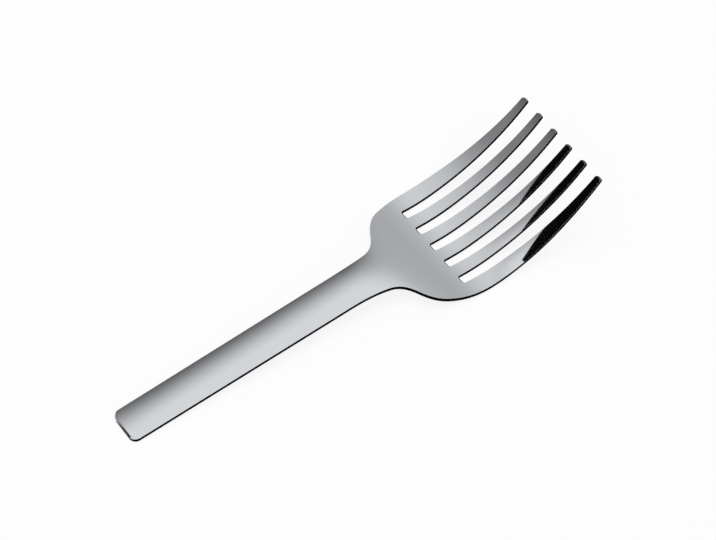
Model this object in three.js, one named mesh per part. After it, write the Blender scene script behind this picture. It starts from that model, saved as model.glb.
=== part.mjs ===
// A broad six-tined meat serving fork, pressed from one sheet of polished steel and lying at rest.
// Millimetres. X runs from the butt to the tips, Y to the fork's left and Z up.
// The fork is laid out flat on its sheet, as a distance along it from the butt and a distance across
// it from the middle line, and each region of the sheet is then bent onto the side profile.
import * as THREE from "three";

// Sheet
const SHEET = 2.1; // thickness of the steel at its edges
const HANDLE_CROWN = 0.5; // rise of the handle's middle above its edges
const BUTT_CROWN = 0.45; // the same rise at the butt

// Side profile, along the sheet from the butt: a straight handle and three bends
const HANDLE_STRAIGHT = 127.7; // straight length of the handle
const NECK_RADIUS = 130; // bend that takes the neck down
const NECK_TURN = 19.7; // degrees
const BELLY_RADIUS = 66; // bend that brings the belly level again
const BELLY_TURN = 24.1; // degrees
const TINE_RADIUS = 107; // bend that lifts the tines
const TINE_TURN = 37.2; // degrees

// Plan outline: half width and slope of the edge at each place along the sheet
const BUTT_HALF = 9.75; // half width of the handle at the butt
const BUTT_CORNER = 3.8; // radius of the butt's two corners
const WAIST_ALONG = 112.5; // end of the handle's straight sides
const WAIST_HALF = 10.25;
const FLARE_ALONG = 146.9; // where the handle flares
const FLARE_HALF = 11.55;
const FLARE_SLOPE = 0.14;
const SWEEP_ALONG = 159.15; // steepest place of the flare
const SWEEP_HALF = 20.5;
const SWEEP_SLOPE = 1.82;
const SHOULDER_ALONG = 174.6; // where the shoulder has turned forward
const SHOULDER_HALF = 32.9;
const SHOULDER_SLOPE = 0.31;
const WIDEST_ALONG = 194.5; // widest place of the head
const WIDEST_HALF = 35.45;
const TIP_HALF = 31.85; // half width of the head across the tips
const TIP_SLOPE = -0.035;

// Tines
const TINE_COUNT = 6;
const TINE_PITCH = 11.98; // from the middle of one tine to the middle of the next
const SLOT_END = 183.25; // distance from the butt to the closed ends of the slots
const SLOT_CORNER = 1.1; // radius in the corners of the slot ends
const TINE_ROOT_WIDTH = 7.16; // width of an inner tine at the slot ends
const TINE_TIP_WIDTH = 3.78; // width of an inner tine at its tip
const TIP_CORNER = 1; // radius of the tip's two corners

// Places where one region of the sheet ends and the next begins
const NECK_START = HANDLE_STRAIGHT;
const PALM_START = 160;

// Places where the crown of the handle is full, where it starts to run out and where it ends
const CROWN_FULL = 26;
const CROWN_RUN_OUT = 134;
const CROWN_END = 171.5;

// Slight dish of the head: its two sides stand above its middle
const DISH_RISE = 0.24; // rise of the sheet at the half width below
const DISH_HALF = 33;
const DISH_START = 153.5; // places where the dish starts, is full, starts to fade and ends
const DISH_FULL = 178.5;
const DISH_FADE = 206;
const DISH_END = 231;

// Fineness of the faceted surface
const PLATE_COLUMNS = 10; // facets across the handle, neck and palm
const TINE_COLUMNS = 2; // facets across a tine
const HANDLE_STEPS = 4;
const NECK_STEPS = 9;
const PALM_STEPS = 7;
const TINE_STEPS = 14;
const CORNER_STEPS = 4; // facets round a corner

// Look of the steel
const STEEL_COLOUR = 0xc3c5c8;
const STEEL_ROUGHNESS = 0.16;
const STEEL_METALNESS = 1;

const BENDS = [
  { length: HANDLE_STRAIGHT, turn: 0 },
  bend(NECK_RADIUS, -NECK_TURN),
  bend(BELLY_RADIUS, BELLY_TURN),
  bend(TINE_RADIUS, TINE_TURN),
];
const SHEET_LENGTH = BENDS.reduce((sum, { length }) => sum + length, 0);

const HANDLE_SLOPE = (WAIST_HALF - BUTT_HALF) / WAIST_ALONG;
const OUTLINE = [
  { along: 0, half: BUTT_HALF, slope: HANDLE_SLOPE },
  { along: WAIST_ALONG, half: WAIST_HALF, slope: HANDLE_SLOPE },
  { along: FLARE_ALONG, half: FLARE_HALF, slope: FLARE_SLOPE },
  { along: SWEEP_ALONG, half: SWEEP_HALF, slope: SWEEP_SLOPE },
  { along: SHOULDER_ALONG, half: SHOULDER_HALF, slope: SHOULDER_SLOPE },
  { along: WIDEST_ALONG, half: WIDEST_HALF, slope: 0 },
  { along: SHEET_LENGTH, half: TIP_HALF, slope: TIP_SLOPE },
];

// One bend of the profile: an arc of the given radius, turning up by so many degrees.
function bend(radius, degrees) {
  const turn = THREE.MathUtils.degToRad(degrees);
  return { length: radius * Math.abs(turn), turn };
}

// The point of the side profile at a distance along the sheet, with the slope there.
function profileAt(along, tilt) {
  const place = { x: 0, z: 0, slope: tilt };
  let left = along;
  for (const { length, turn } of BENDS) {
    const run = Math.min(left, length);
    const change = (turn * run) / length;
    const chord = change === 0 ? run : (2 * run * Math.sin(change / 2)) / change;
    place.x += chord * Math.cos(place.slope + change / 2);
    place.z += chord * Math.sin(place.slope + change / 2);
    place.slope += change;
    left -= run;
  }
  return place;
}

// Half width of the whole outline: a smooth cubic from each place of the outline to the next.
function halfWidth(along) {
  const next = Math.max(1, OUTLINE.findIndex((place) => along <= place.along + 1e-9));
  const a = OUTLINE[next - 1];
  const b = OUTLINE[next];
  const span = b.along - a.along;
  const t = (along - a.along) / span;
  const near = (1 - t) * (1 - t) * ((1 + 2 * t) * a.half + t * span * a.slope);
  const far = t * t * ((3 - 2 * t) * b.half - (1 - t) * span * b.slope);
  return near + far;
}

// How far a rounded corner draws an edge in, at a distance from the end that the corner belongs to.
function cornerInset(radius, distance) {
  const short = Math.max(0, radius - distance);
  return radius - Math.sqrt(radius * radius - short * short);
}

// Rise of the top face above the sheet's edges: the handle is crowned, and the crown runs out in the palm.
function crownAt(along, across) {
  const { smoothstep, lerp } = THREE.MathUtils;
  const built = lerp(BUTT_CROWN, HANDLE_CROWN, smoothstep(along, 0, CROWN_FULL));
  const kept = 1 - smoothstep(along, CROWN_RUN_OUT, CROWN_END);
  const share = Math.min(1, Math.abs(across) / halfWidth(along));
  return built * kept * (1 - share * share);
}

// Rise of both faces of the head above the flat sheet, from its dish.
function dishAt(along, across) {
  const { smoothstep } = THREE.MathUtils;
  const grown = smoothstep(along, DISH_START, DISH_FULL) * (1 - smoothstep(along, DISH_FADE, DISH_END));
  return DISH_RISE * grown * (across / DISH_HALF) ** 2;
}

// Half width of a slot between two tines.
function halfSlot(along) {
  const share = (along - SLOT_END) / (SHEET_LENGTH - SLOT_END);
  const width = THREE.MathUtils.lerp(TINE_ROOT_WIDTH, TINE_TIP_WIDTH, share);
  return (TINE_PITCH - width) / 2 - cornerInset(SLOT_CORNER, along - SLOT_END);
}

// Middle of the slot on the right of a tine; tine 1 is the leftmost.
function slotMiddle(number) {
  return (TINE_COUNT / 2 - number) * TINE_PITCH;
}

// Distances along the sheet for the facets of one region, with more of them round its corners.
function stations(start, end, steps, startCorner, endCorner) {
  const list = [];
  for (let i = 0; i < CORNER_STEPS && startCorner > 0; i += 1) {
    list.push(start + startCorner * (1 - Math.cos((Math.PI / 2) * (i / CORNER_STEPS))));
  }
  const from = start + startCorner;
  const to = end - endCorner;
  for (let i = 0; i <= steps; i += 1) {
    list.push(from + ((to - from) * i) / steps);
  }
  for (let i = 1; i <= CORNER_STEPS && endCorner > 0; i += 1) {
    list.push(to + endCorner * Math.sin((Math.PI / 2) * (i / CORNER_STEPS)));
  }
  return list;
}

// Rows of the handle, neck and palm: the full width of the outline, with the butt's corners.
function plateRows(start, end, steps, startCorner) {
  return stations(start, end, steps, startCorner, 0).map((along) => {
    const half = halfWidth(along) - cornerInset(BUTT_CORNER, along);
    return { along, right: -half, left: half };
  });
}

// Rows of one tine: from the slot on its right, or the outline, to the slot on its left.
function tineRows(number) {
  return stations(SLOT_END, SHEET_LENGTH, TINE_STEPS, SLOT_CORNER, TIP_CORNER).map((along) => {
    const inset = cornerInset(TIP_CORNER, SHEET_LENGTH - along);
    const last = number === TINE_COUNT;
    const right = last ? -halfWidth(along) : slotMiddle(number) + halfSlot(along);
    const left = number === 1 ? halfWidth(along) : slotMiddle(number - 1) - halfSlot(along);
    return { along, right: right + inset, left: left - inset };
  });
}

// Tilt at which the butt's lower edge and the belly touch the same level surface.
function restTilt() {
  const under = (along) => {
    const { x, z, slope } = profileAt(along, 0);
    return new THREE.Vector2(x + SHEET * Math.sin(slope), z - SHEET * Math.cos(slope));
  };
  const butt = under(0);
  return -Math.min(...tineRows(1).map(({ along }) => under(along).sub(butt)).map(({ x, y }) => Math.atan2(y, x)));
}

const REST_TILT = restTilt();

// One region of the sheet as a closed solid: a box whose facets are laid on the bent profile.
function region(name, rows, columns) {
  const steps = rows.length - 1;
  const geometry = new THREE.BoxGeometry(1, 1, 1, steps, columns, 1);
  const position = geometry.getAttribute("position");
  for (let i = 0; i < position.count; i += 1) {
    const { along, right, left } = rows[Math.round((position.getX(i) + 0.5) * steps)];
    const across = THREE.MathUtils.lerp(right, left, position.getY(i) + 0.5);
    const { x, z, slope } = profileAt(along, REST_TILT);
    const lift = dishAt(along, across) + (position.getZ(i) > 0 ? crownAt(along, across) : -SHEET);
    position.setXYZ(i, x - lift * Math.sin(slope), across, z + lift * Math.cos(slope));
  }
  geometry.computeVertexNormals();
  const steel = new THREE.MeshStandardMaterial({
    color: STEEL_COLOUR,
    roughness: STEEL_ROUGHNESS,
    metalness: STEEL_METALNESS,
  });
  const mesh = new THREE.Mesh(geometry, steel);
  mesh.name = name;
  return mesh;
}

const fork = new THREE.Group();
fork.add(region("handle", plateRows(0, NECK_START, HANDLE_STEPS, BUTT_CORNER), PLATE_COLUMNS));
fork.add(region("neck", plateRows(NECK_START, PALM_START, NECK_STEPS, 0), PLATE_COLUMNS));
fork.add(region("palm", plateRows(PALM_START, SLOT_END, PALM_STEPS, 0), PLATE_COLUMNS));
for (let number = 1; number <= TINE_COUNT; number += 1) {
  fork.add(region(`tine_${number}`, tineRows(number), TINE_COLUMNS));
}

// The origin is under the middle of the fork's length, on the surface that it lies on.
const extent = new THREE.Box3().setFromObject(fork);
const middle = extent.getCenter(new THREE.Vector3());
fork.children.forEach((mesh) => mesh.geometry.translate(-middle.x, 0, -extent.min.z));

export default fork;
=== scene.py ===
# The looks of a broad six-tined meat serving fork: one pressing of polished steel on a pale floor.
import math

import bpy
from mathutils import Matrix, Vector


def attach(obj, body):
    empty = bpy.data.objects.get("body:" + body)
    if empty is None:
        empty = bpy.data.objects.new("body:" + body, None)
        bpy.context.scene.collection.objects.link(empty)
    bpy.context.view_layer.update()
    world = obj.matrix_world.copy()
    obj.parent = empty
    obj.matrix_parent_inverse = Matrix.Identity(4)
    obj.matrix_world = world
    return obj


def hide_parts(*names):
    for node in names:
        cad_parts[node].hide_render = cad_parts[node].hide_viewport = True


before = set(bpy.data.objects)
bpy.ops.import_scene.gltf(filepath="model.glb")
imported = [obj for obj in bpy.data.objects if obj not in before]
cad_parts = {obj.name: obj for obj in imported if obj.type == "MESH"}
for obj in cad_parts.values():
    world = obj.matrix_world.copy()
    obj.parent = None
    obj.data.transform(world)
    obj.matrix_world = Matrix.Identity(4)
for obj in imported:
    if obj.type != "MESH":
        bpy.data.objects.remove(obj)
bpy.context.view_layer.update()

MM = 0.001  # the fork's own sizes are in millimetres, and the scene is in metres

# Sheet of steel
SHEET = 2.1  # thickness at the edges
HANDLE_CROWN = 0.5  # rise of the handle's middle above its edges
BUTT_CROWN = 0.45  # the same rise at the butt
CROWN_FULL = 26  # places along the sheet where the crown is full, starts to run out and ends
CROWN_RUN_OUT, CROWN_END = 134, 171.5
DISH_RISE = 0.24  # rise of the dished head at DISH_HALF from its middle
DISH_HALF = 33
DISH_START, DISH_FULL, DISH_FADE, DISH_END = 153.5, 178.5, 206, 231

# Side profile: a straight handle, and three bends that turn the sheet down at the neck and then up
HANDLE_STRAIGHT = 127.7
NECK_RADIUS, NECK_TURN = 130, math.radians(-19.7)
BELLY_RADIUS, BELLY_TURN = 66, math.radians(24.1)
TINE_RADIUS, TINE_TURN = 107, math.radians(37.2)
BENDS = [(HANDLE_STRAIGHT, 0.0)]
for radius, turn in ((NECK_RADIUS, NECK_TURN), (BELLY_RADIUS, BELLY_TURN), (TINE_RADIUS, TINE_TURN)):
    BENDS.append((radius * abs(turn), turn))
SHEET_LENGTH = sum(length for length, turn in BENDS)

# Place of the butt's upper edge and tilt of the handle where the fork lies at rest
BUTT_X, BUTT_Z = -130.869, 2.096
REST_TILT = math.radians(3.423)

# Plan outline: distance along the sheet, half width and slope of the edge at each of its places
BUTT_HALF = 9.75
WAIST_ALONG, WAIST_HALF = 112.5, 10.25
HANDLE_SLOPE = (WAIST_HALF - BUTT_HALF) / WAIST_ALONG
BUTT = (0, BUTT_HALF, HANDLE_SLOPE)
WAIST = (WAIST_ALONG, WAIST_HALF, HANDLE_SLOPE)
FLARE = (146.9, 11.55, 0.14)
SWEEP = (159.15, 20.5, 1.82)
SHOULDER = (174.6, 32.9, 0.31)
WIDEST = (194.5, 35.45, 0)
TIPS = (SHEET_LENGTH, 31.85, -0.035)
OUTLINE = [BUTT, WAIST, FLARE, SWEEP, SHOULDER, WIDEST, TIPS]
BUTT_CORNER = 3.8  # radius of the butt's two corners

# Tines
TINE_COUNT = 6
TINE_PITCH = 11.98  # from the middle of one tine to the middle of the next
TINE_ROOT_WIDTH = 7.16  # width of an inner tine at the slot ends
TINE_TIP_WIDTH = 3.78  # width of an inner tine at its tip
SLOT_END = 183.25  # distance from the butt to the closed ends of the slots
SLOT_CORNER = 1.1  # radius in the corners of the slot ends
TIP_CORNER = 1.0  # radius of the tip's two corners

# Hand finish of each tine: curvature across its upper face per millimetre, lean of the face to the left in
# degrees, and the two places along the sheet where both start and are full
TINE_FINISH = [
    (0.001, 0.1, 222, 240),
    (0.001, 0.35, 222, 240),
    (0.001, 0.7, 222, 240),
    (0.005, 0.075, 199.5, 213.5),
    (0.0085, 0.02, 199.5, 213.5),
    (0.0105, -1.63, 198, 212),
]

# Borders between the regions of the sheet
NECK_START = HANDLE_STRAIGHT
PALM_START = 160
SLOT_MARGIN = 1.5  # the tines take the last strip of the palm before the slots
TINE_START = SLOT_END - SLOT_MARGIN

# Rounded edges
EDGE_RADIUS = 0.3  # radius of the lower edge
END_EDGE_RADIUS = 0.9  # radius of the upper edge at the butt and at the closed ends of the slots
SIDE_EDGE_INSET = 0.12  # the upper edge elsewhere is rounded so far across the sheet
SIDE_EDGE_DROP = 1.75  # and so far down

# Fineness of the surface
EDGE_STEPS = 8  # facets round an edge
PLATE_COLUMNS = 28  # facets across the handle, neck and palm
TINE_COLUMNS = 6  # facets across a tine
STATION_STEP = 1.6  # longest facet along the sheet
BUTT_CORNER_STEPS = 14  # facets round a corner of the butt
SMALL_CORNER_STEPS = 8  # facets round a corner of a slot or a tip

# Camera of the photograph: a long lens that looks down at the fork from its right
IMAGE_WIDTH = 716  # pixels
FOCAL_LENGTH = 2800  # pixels
SENSOR_WIDTH = 36
CAMERA_TURN = math.radians(35.099)
CAMERA_CLIMB = math.radians(55.387)
CAMERA_TARGET = Vector((9.63, 0, 2.115))
CAMERA_DISTANCE = 1375.9
CAMERA_LEFT, CAMERA_RAISE = 2.894, 8.638  # shift of the camera in its own picture plane

# Soft light of the studio's walls: direction, cosines of the angle where it starts and is full, and strength
FRONT_LIGHT = ((0.163, -0.896, 0.239), -0.392, -0.1, 0.61)
UPPER_LIGHT = ((-0.215, -0.347, 0.754), 0.181, 0.515, 0.25)
REAR_LIGHT = ((-0.1, 1, -0.25), 0.46, 0.62, 0.5)

# Large soft lamp overhead, in metres and watts
LAMP_SIZE = 1.4
LAMP_POWER = 9
LAMP_PLACE = Vector((0.1, 0.5, 1.6))

# Floor, in metres
FLOOR_REACH = 6.0
FLOOR_WHITE = 0.86  # share of the floor that shows as plain white; the rest takes the shadow

# Cards that the polished steel mirrors, in metres
CARD_LIFT = 0.0002  # height above the floor of the cards that lie on it
FLAG_HEIGHT = 1.3
FRONT_BOARD_HEIGHT = 3.6
END_BOARD_HEIGHT = 0.3
# The floor card is painted shade: a black sheet, seen only in the steel, that stands in for the floor shaded
# under and in front of the fork, which the near walls and lower edges mirror
FLOOR_SHADE_CARD = [(-0.16, -0.12), (0.4, -0.12), (0.4, 0.03), (0.05, 0.03), (0.02, 0.006), (-0.16, 0.006)]
# The tip card is painted shade: a grey sheet, seen only in the steel, that stands in for the shaded floor
# which the rightmost tine's near wall mirrors near its tip
TIP_SHADE_CARD = [(0.16, 0.029), (0.4, 0.029), (0.4, 0.2), (0.16, 0.2)]
FLAG = [(-0.015, 0.468), (-2.6, 1.558), (-2.6, 0.9), (-0.015, 0.1)]
FRONT_BOARD_FEET = [(0.62, -2.93), (1.93, -2.3)]
END_BOARD_FEET = [(0.6, -0.3), (0.6, 0.9)]


def smooth_step(value, low, high):
    """0 below low, 1 above high and a smooth rise between them."""
    share = min(1.0, max(0.0, (value - low) / (high - low)))
    return share * share * (3 - 2 * share)


def profile_at(along):
    """The side profile's X, Z and slope at a distance along the sheet."""
    x, z, slope, left = BUTT_X, BUTT_Z, REST_TILT, along
    for length, turn in BENDS:
        run = min(left, length)
        change = turn * run / length
        chord = run if change == 0 else 2 * run * math.sin(change / 2) / change
        x += chord * math.cos(slope + change / 2)
        z += chord * math.sin(slope + change / 2)
        slope += change
        left -= run
    return x, z, slope


def half_width(along):
    """Half width of the whole outline: a smooth cubic from each place of the outline to the next."""
    place = 1
    while place < len(OUTLINE) - 1 and along > OUTLINE[place][0]:
        place += 1
    start, start_half, start_slope = OUTLINE[place - 1]
    end, end_half, end_slope = OUTLINE[place]
    span = end - start
    t = (along - start) / span
    near = (1 - t) ** 2 * ((1 + 2 * t) * start_half + t * span * start_slope)
    far = t * t * ((3 - 2 * t) * end_half - (1 - t) * span * end_slope)
    return near + far


def half_slot(along):
    """Half width of a slot between two tines, without its rounded corners."""
    share = (along - SLOT_END) / (SHEET_LENGTH - SLOT_END)
    width = TINE_ROOT_WIDTH + (TINE_TIP_WIDTH - TINE_ROOT_WIDTH) * share
    return (TINE_PITCH - width) / 2


def slot_middle(number):
    """Middle of the slot on the right of a tine; tine 1 is the leftmost."""
    return (TINE_COUNT / 2 - number) * TINE_PITCH


def slope_of(function, along):
    """Slope of a function of the distance along the sheet."""
    step = 0.01
    return (function(along + step) - function(along - step)) / (2 * step)


def dish_rise(along, across):
    """Rise of both faces of the head towards its outer edges."""
    grown = smooth_step(along, DISH_START, DISH_FULL) * (1 - smooth_step(along, DISH_FADE, DISH_END))
    return DISH_RISE * grown * (across / DISH_HALF) ** 2


def plate_rise(along, across):
    """Rise of the upper face of the handle, neck and palm above the flat sheet."""
    built = BUTT_CROWN + (HANDLE_CROWN - BUTT_CROWN) * smooth_step(along, 0, CROWN_FULL)
    kept = 1 - smooth_step(along, CROWN_RUN_OUT, CROWN_END)
    share = min(1.0, abs(across) / half_width(along))
    return built * kept * (1 - share * share) + dish_rise(along, across)


def tine_rise(number):
    """A function for the rise of one tine's upper face, with its slight bulge and lean."""
    bulge, degrees, start, full = TINE_FINISH[number - 1]
    lean = math.tan(math.radians(degrees))

    def rise(along, across):
        right = -half_width(along) if number == TINE_COUNT else slot_middle(number) + half_slot(along)
        left = half_width(along) if number == 1 else slot_middle(number - 1) - half_slot(along)
        offset = across - (right + left) / 2
        finish = bulge / 2 * ((left - right) ** 2 / 4 - offset * offset) - lean * offset
        return finish * smooth_step(along, start, full) + dish_rise(along, across)
    return rise


# Edge points: distance along, distance across, and the direction that leads out of the sheet there

def outline_edge(along, side):
    """A point of the outline on the left (side 1) or right (side -1)."""
    outward = Vector((-slope_of(half_width, along), side)).normalized()
    return along, side * half_width(along), outward.x, outward.y


def butt_edges(side):
    """The rounded corner of the butt, from the straight edge to the end."""
    edges = []
    for step in range(BUTT_CORNER_STEPS + 1):
        angle = math.pi / 2 * step / BUTT_CORNER_STEPS
        along = BUTT_CORNER * (1 - math.sin(angle))
        across = half_width(along) - BUTT_CORNER * (1 - math.cos(angle))
        edges.append((along, side * across, -math.sin(angle), side * math.cos(angle)))
    return edges


def stations(start, end):
    """Evenly spaced distances along the sheet, both ends included."""
    count = math.ceil((end - start) / STATION_STEP)
    return [start + (end - start) * step / count for step in range(count + 1)]


def tine_side(number, side):
    """The edge points of one side of a tine, from the slot's corner or the outline to the tip."""
    outer = number == (1 if side > 0 else TINE_COUNT)
    middle = slot_middle(number - 1 if side > 0 else number)

    def straight(along):
        return half_width(along) if outer else side * middle - half_slot(along)

    edges = []
    for step in range(SMALL_CORNER_STEPS):
        angle = math.pi / 2 * step / SMALL_CORNER_STEPS
        along = SLOT_END + SLOT_CORNER * (1 - math.cos(angle))
        across = straight(along) + SLOT_CORNER * (1 - math.sin(angle))
        edge = (along, side * across, math.cos(angle), side * math.sin(angle))
        edges.append(outline_edge(inset(edge)[0], side) if outer else edge)
    for along in stations(SLOT_END + SLOT_CORNER, SHEET_LENGTH - TIP_CORNER):
        outward = Vector((-slope_of(straight, along), side)).normalized()
        edges.append((along, side * straight(along), outward.x, outward.y))
    for step in range(1, SMALL_CORNER_STEPS + 1):
        angle = math.pi / 2 * step / SMALL_CORNER_STEPS
        along = SHEET_LENGTH - TIP_CORNER * (1 - math.sin(angle))
        across = straight(along) - TIP_CORNER * (1 - math.cos(angle))
        edges.append((along, side * across, math.sin(angle), side * math.cos(angle)))
    return edges


def edge_size(edge, under):
    """How far the rounding of an edge reaches across the sheet, and how far down or up its wall.

    Round the butt's and the slots' corners the upper edge changes from the sides' rounding to the ends'."""
    along, across, out_along, out_across = edge
    if under:
        return EDGE_RADIUS, EDGE_RADIUS
    at_butt = along < BUTT_CORNER
    at_slot = SLOT_END <= along <= SLOT_END + SLOT_CORNER
    share = smooth_step(abs(out_along), 0.2, 1) if at_butt or at_slot else 0.0
    sides = (SIDE_EDGE_INSET, SIDE_EDGE_DROP)
    return tuple(side + (END_EDGE_RADIUS - side) * share for side in sides)


def inset(edge, under=False):
    """Where a face ends and its rounded edge begins."""
    along, across, out_along, out_across = edge
    reach = edge_size(edge, under)[0]
    return along - reach * out_along, across - reach * out_across


class Region:
    """One region of the sheet as a closed mesh: two faces, rounded edges, and flat ends inside the steel."""

    def __init__(self, name, rise):
        self.name = name
        self.rise = rise
        self.points = []
        self.normals = []
        self.faces = []
        self.ends = []
        self.known = {}

    def add(self, along, across, lift, lean, under):
        """A vertex at a place of the sheet; lean leads out of the sheet and is zero on a face."""
        x, z, slope = profile_at(along)
        point = Vector((x - lift * math.sin(slope), across, z + lift * math.cos(slope)))
        key = tuple(round(value, 4) for value in point)
        if key not in self.known:
            forward = Vector((math.cos(slope), 0, math.sin(slope)))
            upward = Vector((-math.sin(slope), 0, math.cos(slope)))
            outward = forward * lean[0] + Vector((0, lean[1], 0))
            face = -upward if under else upward + self.face_tilt(along, across, forward)
            flat = math.sqrt(max(0.0, 1 - outward.length_squared))
            self.known[key] = len(self.points)
            self.points.append(point * MM)
            self.normals.append((face.normalized() * flat + outward).normalized())
        return self.known[key]

    def face_tilt(self, along, across, forward):
        """Sideways part of the upper face's normal, from the slope of its rise."""
        step = 0.02
        rise_along = (self.rise(along + step, across) - self.rise(along - step, across)) / (2 * step)
        rise_across = (self.rise(along, across + step) - self.rise(along, across - step)) / (2 * step)
        return -forward * rise_along - Vector((0, rise_across, 0))

    def face_vertex(self, along, across, under):
        """A vertex on the upper or lower face."""
        lift = dish_rise(along, across) - SHEET if under else self.rise(along, across)
        return self.add(along, across, lift, (0, 0), under)

    def edge_vertices(self, edge):
        """The vertices round one edge point, from the upper face to the lower face.

        The steps of the upper edge are finer at its top, where the steel turns fastest."""
        along, across, out_along, out_across = edge
        found = []
        for under in (False, True):
            reach, depth = edge_size(edge, under)
            for step in range(EDGE_STEPS + 1):
                share = 1 - step / EDGE_STEPS if under else (step / EDGE_STEPS) ** 2
                angle = math.pi / 2 * share
                gap = reach * (1 - math.sin(angle))
                drop = depth * (1 - math.cos(angle))
                place = (along - gap * out_along, across - gap * out_across)
                lift = dish_rise(*place) + drop - SHEET if under else self.rise(*place) - drop
                tilt = math.atan2(depth * math.sin(angle), reach * math.cos(angle))
                lean = (out_along * math.sin(tilt), out_across * math.sin(tilt))
                found.append(self.add(*place, lift, lean, under))
        return found

    def sheet_face(self, rows, under):
        """The upper or lower face between rows of places; a row runs from right to left."""
        grid = [[self.face_vertex(*place, under) for place in row] for row in rows]
        for near, far in zip(grid, grid[1:]):
            for column in range(len(near) - 1):
                face = [near[column], far[column], far[column + 1], near[column + 1]]
                self.faces.append(face[::-1] if under else face)

    def rim(self, edges):
        """Rounded edge and wall along edge points that keep the steel on their left."""
        rings = [self.edge_vertices(edge) for edge in edges]
        for near, far in zip(rings, rings[1:]):
            for level in range(len(near) - 1):
                self.faces.append([near[level + 1], far[level + 1], far[level], near[level]])

    def end(self, loop, outward):
        """A flat end where the region meets its neighbour."""
        kept = [place for place, following in zip(loop, loop[1:] + loop[:1]) if place != following]
        corners = [self.points[index] for index in kept]
        total = Vector((0, 0, 0))
        for corner, following in zip(corners, corners[1:] + corners[:1]):
            total += (corner - corners[0]).cross(following - corners[0])
        self.ends.append(kept if total.dot(outward) > 0 else kept[::-1])

    def border(self, row, right_edge, left_edge, direction):
        """The flat end across the whole sheet at a row, seen forward (1) or backward (-1)."""
        slope = profile_at(row[0][0])[2]
        upper = [self.face_vertex(*place, False) for place in row]
        lower = [self.face_vertex(*place, True) for place in row]
        left = self.edge_vertices(left_edge) if left_edge else []
        right = self.edge_vertices(right_edge) if right_edge else []
        loop = upper + left + lower[::-1] + right[::-1]
        self.end(loop, Vector((math.cos(slope), 0, math.sin(slope))) * direction)

    def build(self, material):
        """The Blender piece, with smooth normals on the sheet and flat ones on its ends."""
        mesh = bpy.data.meshes.new(self.name)
        mesh.from_pydata(self.points, [], self.faces + self.ends)
        mesh.update()
        normals = []
        for polygon in mesh.polygons:
            polygon.use_smooth = True
            inside = polygon.index >= len(self.faces)
            for index in polygon.vertices:
                normals.append(polygon.normal if inside else self.normals[index])
        mesh.normals_split_custom_set([tuple(normal) for normal in normals])
        mesh.materials.append(material)
        piece = bpy.data.objects.new(self.name + "_steel", mesh)
        bpy.context.scene.collection.objects.link(piece)
        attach(piece, "root")
        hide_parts(self.name)
        return piece


def between(right_edge, left_edge, columns, under=False):
    """Places of a row across the sheet, from the right edge's inset to the left edge's."""
    right, left = Vector(inset(right_edge, under)), Vector(inset(left_edge, under))
    return [tuple(right.lerp(left, column / columns)) for column in range(columns + 1)]


def plate_region(name, start, end):
    """Neck or palm: a region with a free edge on both sides."""
    region = Region(name, plate_rise)
    right = [outline_edge(along, -1) for along in stations(start, end)]
    left = [outline_edge(along, 1) for along in stations(start, end)]
    rows = [between(*pair, PLATE_COLUMNS) for pair in zip(right, left)]
    for under in (False, True):
        region.sheet_face(rows, under)
    region.rim(right)
    region.rim(left[::-1])
    region.border(rows[0], right[0], left[0], -1)
    region.border(rows[-1], right[-1], left[-1], 1)
    return region


def handle_region():
    """The handle: free edges on both sides and round the butt."""
    region = Region("handle", plate_rise)
    sides = {}
    for side in (-1, 1):
        straight = [outline_edge(along, side) for along in stations(BUTT_CORNER, NECK_START)]
        sides[side] = butt_edges(side)[:0:-1] + straight
    for under in (True, False):
        rows = [between(*pair, PLATE_COLUMNS, under) for pair in zip(sides[-1], sides[1])]
        region.sheet_face(rows, under)
    butt = [(0.0, across, -1.0, 0.0) for along, across in rows[0]]
    region.rim(sides[1][::-1] + butt[-2:0:-1] + sides[-1])
    region.border(rows[-1], sides[-1][-1], sides[1][-1], 1)
    return region


def tine_root(number, starts, row, under):
    """The two rows at the root of a tine's face, which reach to the middles of the slots beside it."""
    root = [(TINE_START, across) for along, across in row]
    first = list(row)
    if number == TINE_COUNT:
        root[0] = inset(starts[-1], under)
    else:
        root.insert(0, (TINE_START, starts[-1][1]))
        first.insert(0, inset(starts[-1], under))
    if number == 1:
        root[-1] = inset(starts[1], under)
    else:
        root.append((TINE_START, starts[1][1]))
        first.append(inset(starts[1], under))
    return root, first


def tine_region(number):
    """One tine, with half of the slot end on each side that has a slot."""
    region = Region("tine_%d" % number, tine_rise(number))
    right, left = tine_side(number, -1), tine_side(number, 1)
    starts = {}
    for side in (-1, 1):
        if number == (1 if side > 0 else TINE_COUNT):
            starts[side] = outline_edge(TINE_START, side)
        else:
            middle = slot_middle(number - 1 if side > 0 else number)
            starts[side] = (SLOT_END, middle, 1.0, 0.0)
            ring = region.edge_vertices(starts[side])
            corners = [region.face_vertex(TINE_START, middle, under) for under in (False, True)]
            region.end([corners[0]] + ring + [corners[1]], Vector((0, side, 0)))
    for under in (True, False):
        rows = [between(*pair, TINE_COLUMNS, under) for pair in zip(right, left)]
        root, first = tine_root(number, starts, rows[0], under)
        region.sheet_face([root, first], under)
        region.sheet_face(rows, under)
    tip = [(SHEET_LENGTH, across, 1.0, 0.0) for along, across in rows[-1]]
    region.rim([starts[-1]] + right + tip[1:-1] + left[::-1] + [starts[1]])
    outer_right = starts[-1] if number == TINE_COUNT else None
    outer_left = starts[1] if number == 1 else None
    region.border(root, outer_right, outer_left, -1)
    return region


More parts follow.
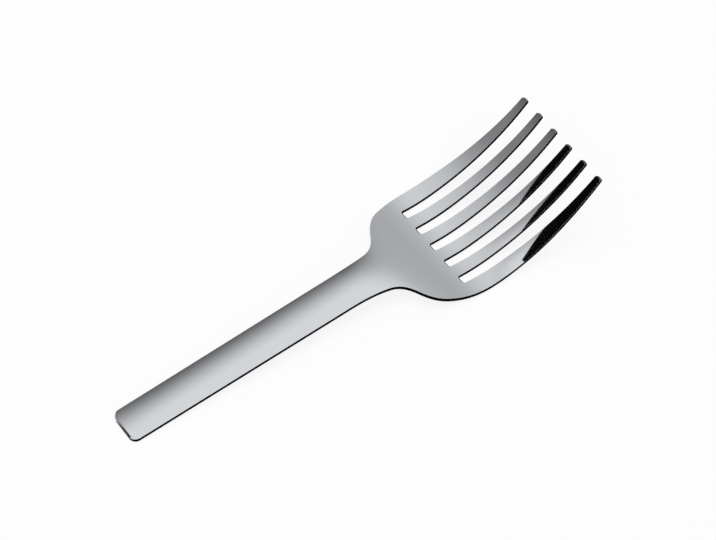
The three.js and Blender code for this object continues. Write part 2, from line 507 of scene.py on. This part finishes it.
def steel_material():
    """Polished steel with a faint grain along the fork and small changes of polish."""
    material = bpy.data.materials.new("polished_steel")
    material.use_nodes = True
    nodes, links = material.node_tree.nodes, material.node_tree.links
    shader = nodes["Principled BSDF"]
    shader.inputs["Metallic"].default_value = 1.0
    place = nodes.new("ShaderNodeTexCoord")

    stretch = nodes.new("ShaderNodeMapping")
    stretch.inputs["Scale"].default_value = (120, 2600, 2600)
    links.new(place.outputs["Object"], stretch.inputs["Vector"])
    grain = nodes.new("ShaderNodeTexNoise")
    grain.inputs["Scale"].default_value = 1.0
    grain.inputs["Detail"].default_value = 3.0
    links.new(stretch.outputs["Vector"], grain.inputs["Vector"])

    cloud = nodes.new("ShaderNodeTexNoise")
    cloud.inputs["Scale"].default_value = 45.0
    cloud.inputs["Detail"].default_value = 4.0
    links.new(place.outputs["Object"], cloud.inputs["Vector"])

    tint = nodes.new("ShaderNodeMix")
    tint.data_type = "RGBA"
    tint.inputs["A"].default_value = (0.74, 0.76, 0.79, 1)
    tint.inputs["B"].default_value = (0.76, 0.78, 0.81, 1)
    links.new(grain.outputs["Fac"], tint.inputs["Factor"])
    links.new(tint.outputs["Result"], shader.inputs["Base Color"])

    polish = nodes.new("ShaderNodeMapRange")
    polish.inputs["From Min"].default_value = 0.3
    polish.inputs["From Max"].default_value = 0.7
    polish.inputs["To Min"].default_value = 0.02
    polish.inputs["To Max"].default_value = 0.05
    links.new(cloud.outputs["Fac"], polish.inputs["Value"])
    links.new(polish.outputs["Result"], shader.inputs["Roughness"])

    bump = nodes.new("ShaderNodeBump")
    bump.inputs["Strength"].default_value = 0.2
    bump.inputs["Distance"].default_value = 0.00002
    links.new(cloud.outputs["Fac"], bump.inputs["Height"])
    links.new(bump.outputs["Normal"], shader.inputs["Normal"])
    return material


def stage_sheet(name, corners, material):
    """A flat sheet of the studio, given by its corners in metres."""
    mesh = bpy.data.meshes.new(name)
    mesh.from_pydata(corners, [], [list(range(len(corners)))])
    mesh.materials.append(material)
    sheet = bpy.data.objects.new(name, mesh)
    bpy.context.scene.collection.objects.link(sheet)
    return sheet


def matt_material(name, colour):
    """Plain matt surface of the studio."""
    material = bpy.data.materials.new(name)
    material.use_nodes = True
    shader = material.node_tree.nodes["Principled BSDF"]
    shader.inputs["Base Color"].default_value = colour
    shader.inputs["Roughness"].default_value = 1.0
    shader.inputs["Specular IOR Level"].default_value = 0.0
    return material


def floor_material():
    """Pale floor that shows as white, and keeps a share of the fork's shadow."""
    material = matt_material("pale_floor", (0.93, 0.93, 0.93, 1))
    nodes, links = material.node_tree.nodes, material.node_tree.links
    seen = nodes.new("ShaderNodeLightPath")
    direct = nodes.new("ShaderNodeMath")
    direct.operation = "MAXIMUM"
    links.new(seen.outputs["Is Camera Ray"], direct.inputs[0])
    links.new(seen.outputs["Is Glossy Ray"], direct.inputs[1])
    through = nodes.new("ShaderNodeMath")
    through.operation = "MAXIMUM"
    links.new(direct.outputs["Value"], through.inputs[0])
    links.new(seen.outputs["Is Transmission Ray"], through.inputs[1])
    share = nodes.new("ShaderNodeMath")
    share.operation = "MULTIPLY"
    share.inputs[1].default_value = FLOOR_WHITE
    links.new(through.outputs["Value"], share.inputs[0])
    white = nodes.new("ShaderNodeEmission")
    white.inputs["Strength"].default_value = 1.0
    blend = nodes.new("ShaderNodeMixShader")
    links.new(share.outputs["Value"], blend.inputs["Fac"])
    links.new(nodes["Principled BSDF"].outputs["BSDF"], blend.inputs[1])
    links.new(white.outputs["Emission"], blend.inputs[2])
    links.new(blend.outputs["Shader"], nodes["Material Output"].inputs["Surface"])
    return material


def only_in_gloss(sheet):
    """A card that the steel mirrors, and that neither the camera nor the light meets."""
    sheet.visible_camera = False
    sheet.visible_diffuse = False
    sheet.visible_shadow = False
    sheet.visible_transmission = False
    sheet.visible_volume_scatter = False


def make_camera():
    """The camera of the photograph."""
    right = Vector((math.cos(CAMERA_TURN), -math.sin(CAMERA_TURN), 0))
    back = Vector((math.sin(CAMERA_TURN), math.cos(CAMERA_TURN), 0))
    upward = back * math.sin(CAMERA_CLIMB) + Vector((0, 0, math.cos(CAMERA_CLIMB)))
    away = back * math.cos(CAMERA_CLIMB) - Vector((0, 0, math.sin(CAMERA_CLIMB)))
    shift = upward * CAMERA_RAISE - right * CAMERA_LEFT
    eye = (CAMERA_TARGET - away * CAMERA_DISTANCE + shift) * MM
    data = bpy.data.cameras.new("camera")
    data.sensor_width = SENSOR_WIDTH
    data.lens = FOCAL_LENGTH / IMAGE_WIDTH * SENSOR_WIDTH
    data.clip_start, data.clip_end = 0.01, 100
    camera = bpy.data.objects.new("camera", data)
    axes = Matrix((right, upward, -away)).transposed().to_4x4()
    camera.matrix_world = Matrix.Translation(eye) @ axes
    bpy.context.scene.collection.objects.link(camera)
    bpy.context.scene.camera = camera


def make_world():
    """A studio whose soft lights add up: bright in front and above, and low down behind."""
    world = bpy.data.worlds.new("studio")
    world.use_nodes = True
    nodes, links = world.node_tree.nodes, world.node_tree.links
    place = nodes.new("ShaderNodeTexCoord")
    lit = nodes["Background"].inputs["Strength"]
    for axis, start, full, bright in (FRONT_LIGHT, UPPER_LIGHT, REAR_LIGHT):
        facing = nodes.new("ShaderNodeVectorMath")
        facing.operation = "DOT_PRODUCT"
        facing.inputs[1].default_value = Vector(axis).normalized()
        links.new(place.outputs["Generated"], facing.inputs[0])
        level = nodes.new("ShaderNodeMapRange")
        level.interpolation_type = "SMOOTHSTEP"
        level.inputs["From Min"].default_value = start
        level.inputs["From Max"].default_value = full
        level.inputs["To Max"].default_value = bright
        links.new(facing.outputs["Value"], level.inputs["Value"])
        total = nodes.new("ShaderNodeMath")
        total.operation = "ADD"
        total.inputs[1].default_value = 0.0
        links.new(level.outputs["Result"], total.inputs[0])
        links.new(total.outputs["Value"], lit)
        lit = total.inputs[1]
    nodes["Background"].inputs["Color"].default_value = (1, 1, 1, 1)
    bpy.context.scene.world = world


def make_lamp():
    """A large soft lamp overhead, for the floor and the fork's shadow."""
    data = bpy.data.lights.new("softbox", "AREA")
    data.shape = "SQUARE"
    data.size = LAMP_SIZE
    data.energy = LAMP_POWER
    lamp = bpy.data.objects.new("softbox", data)
    lamp.location = LAMP_PLACE
    lamp.rotation_mode = "QUATERNION"
    lamp.rotation_quaternion = (-LAMP_PLACE).to_track_quat("-Z", "Y")
    lamp.visible_glossy = False
    bpy.context.scene.collection.objects.link(lamp)


def level_card(border, height):
    """Corners of a card that lies level."""
    return [(x, y, height) for x, y in border]


def upright_card(feet, height):
    """Corners of a board that stands on the floor."""
    return level_card(feet, 0) + level_card(feet[::-1], height)


def make_stage():
    """Pale floor, and the cards that only the polished steel sees."""
    square = [(-FLOOR_REACH, -FLOOR_REACH), (FLOOR_REACH, -FLOOR_REACH)]
    square += [(FLOOR_REACH, FLOOR_REACH), (-FLOOR_REACH, FLOOR_REACH)]
    stage_sheet("floor", level_card(square, 0), floor_material())
    dark = matt_material("dark_card", (0.004, 0.004, 0.004, 1))
    # painted shade: the shaded floor under and in front of the fork, as the steel mirrors it
    only_in_gloss(stage_sheet("painted_floor_shade", level_card(FLOOR_SHADE_CARD, CARD_LIFT), dark))
    only_in_gloss(stage_sheet("flag", level_card(FLAG, FLAG_HEIGHT), dark))
    only_in_gloss(stage_sheet("front_board", upright_card(FRONT_BOARD_FEET, FRONT_BOARD_HEIGHT), dark))
    only_in_gloss(stage_sheet("end_board", upright_card(END_BOARD_FEET, END_BOARD_HEIGHT), dark))
    # painted shade: grey for the shaded floor that the rightmost tine mirrors near its tip
    grey = matt_material("painted_shade_grey", (0.12, 0.12, 0.12, 1))
    only_in_gloss(stage_sheet("painted_tip_shade", level_card(TIP_SHADE_CARD, CARD_LIFT), grey))


make_camera()
make_world()
make_lamp()
make_stage()

steel = steel_material()
regions = [handle_region(), plate_region("neck", NECK_START, PALM_START)]
regions.append(plate_region("palm", PALM_START, TINE_START))
regions += [tine_region(number) for number in range(1, TINE_COUNT + 1)]
for region in regions:
    region.build(steel)

bpy.context.scene.view_settings.view_transform = "Standard"
